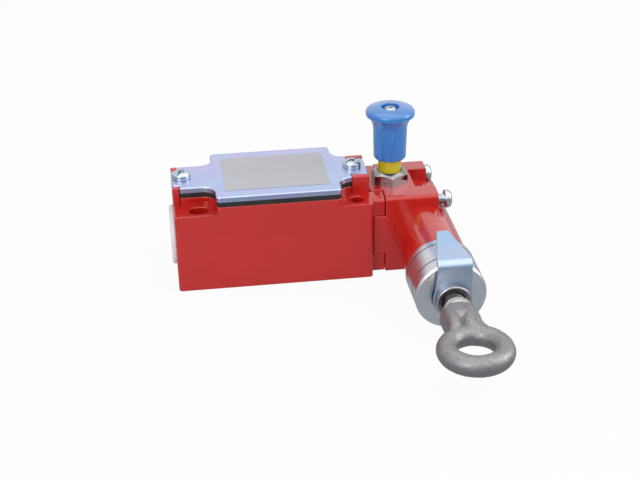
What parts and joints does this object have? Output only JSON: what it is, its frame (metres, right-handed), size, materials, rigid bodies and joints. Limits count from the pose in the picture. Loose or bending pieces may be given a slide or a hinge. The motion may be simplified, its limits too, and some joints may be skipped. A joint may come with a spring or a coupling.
{
  "type": "rope pull switch",
  "caption": "Latching safety switch in a red cast body, with a plated cover, a pull-to-reset knob and a spring-loaded spindle that ends in a forged eye for a pull rope.",
  "frame": {"origin": "centre of the 60 x 30 mm fixing pattern on the flat back face of the body", "axes": "+X along the body from the cable entry towards the actuating head, +Z out of the back face towards the cover and the knob, -Y the way the rope pulls"},
  "size_m": [0.1107, 0.135, 0.0627],
  "materials": {
    "red_paint": "semi-gloss red paint over a die casting",
    "black_rubber": "black moulded rubber",
    "zinc_plate": "bright zinc plate with a blue passivate",
    "label_foil": "bare light grey foil",
    "screw_steel": "zinc-plated steel",
    "white_plastic": "white moulded plastic",
    "brass": "turned brass",
    "grey_plastic": "dark grey moulded plastic",
    "contact_brass": "pressed brass strip",
    "ivory_plastic": "ivory moulded plastic",
    "spring_steel": "drawn spring wire",
    "bright_steel": "turned steel",
    "nickel_plate": "nickel-plated brass",
    "yellow_plastic": "yellow moulded plastic",
    "blue_plastic": "blue moulded plastic",
    "zinc_collar": "turned and zinc plated",
    "zinc_nut": "zinc plated",
    "forged_steel": "dark forged steel, fine scale"
  },
  "bodies": {
    "case": {"body_housing": "red_paint", "cover_gasket": "black_rubber", "cover_plate": "zinc_plate", "rating_label": "label_foil", "cover_screws": "screw_steel", "entry_plug": "white_plastic", "earth_screw": "brass", "contact_block_base": "grey_plastic", "contact_block_screws": "screw_steel", "fixed_contacts": "contact_brass", "terminal_screws": "screw_steel", "carrier_spring": "spring_steel", "head_gasket": "black_rubber", "head_housing": "red_paint", "head_screws": "screw_steel", "follower_guide_bush": "brass", "reset_bush": "nickel_plate", "indicator_sleeve": "yellow_plastic", "reset_spring": "spring_steel", "main_spring": "spring_steel", "end_collar": "zinc_collar", "spindle_bush": "ivory_plastic", "wiper_seal": "black_rubber"},
    "rope_spindle": {"spindle": "bright_steel", "spring_seat": "bright_steel", "spindle_circlip": "spring_steel", "tension_pointer": "zinc_plate", "lock_nut": "zinc_nut", "rope_eye": "forged_steel"},
    "plunger": {"cam_follower": "bright_steel", "follower_ball": "bright_steel", "contact_carrier": "ivory_plastic", "moving_contacts": "contact_brass", "bridge_springs": "spring_steel"},
    "reset_button": {"reset_knob": "blue_plastic", "knob_screw": "screw_steel", "reset_rod": "bright_steel"}
  },
  "joints": [
    {"name": "rope_pull", "type": "slide", "parent": "case", "child": "rope_spindle", "axis": [0, -1, 0], "range_m": [0, 0.012], "stiffness_N_per_m": 1500, "springref_m": -0.01, "deforming": ["main_spring"]},
    {"name": "plunger_slide", "type": "slide", "parent": "case", "child": "plunger", "axis": [-1, 0, 0], "range_m": [0, 0.003], "stiffness_N_per_m": 200, "springref_m": -0.004, "deforming": ["carrier_spring"]},
    {"name": "reset_pull", "type": "slide", "parent": "case", "child": "reset_button", "axis": [0, 0, 1], "range_m": [0, 0.005], "stiffness_N_per_m": 300, "springref_m": -0.004, "deforming": ["reset_spring"]}
  ],
  "couplings": [
    {"joint": "plunger_slide", "follows": "rope_pull", "ratio": 0.25}
  ]
}
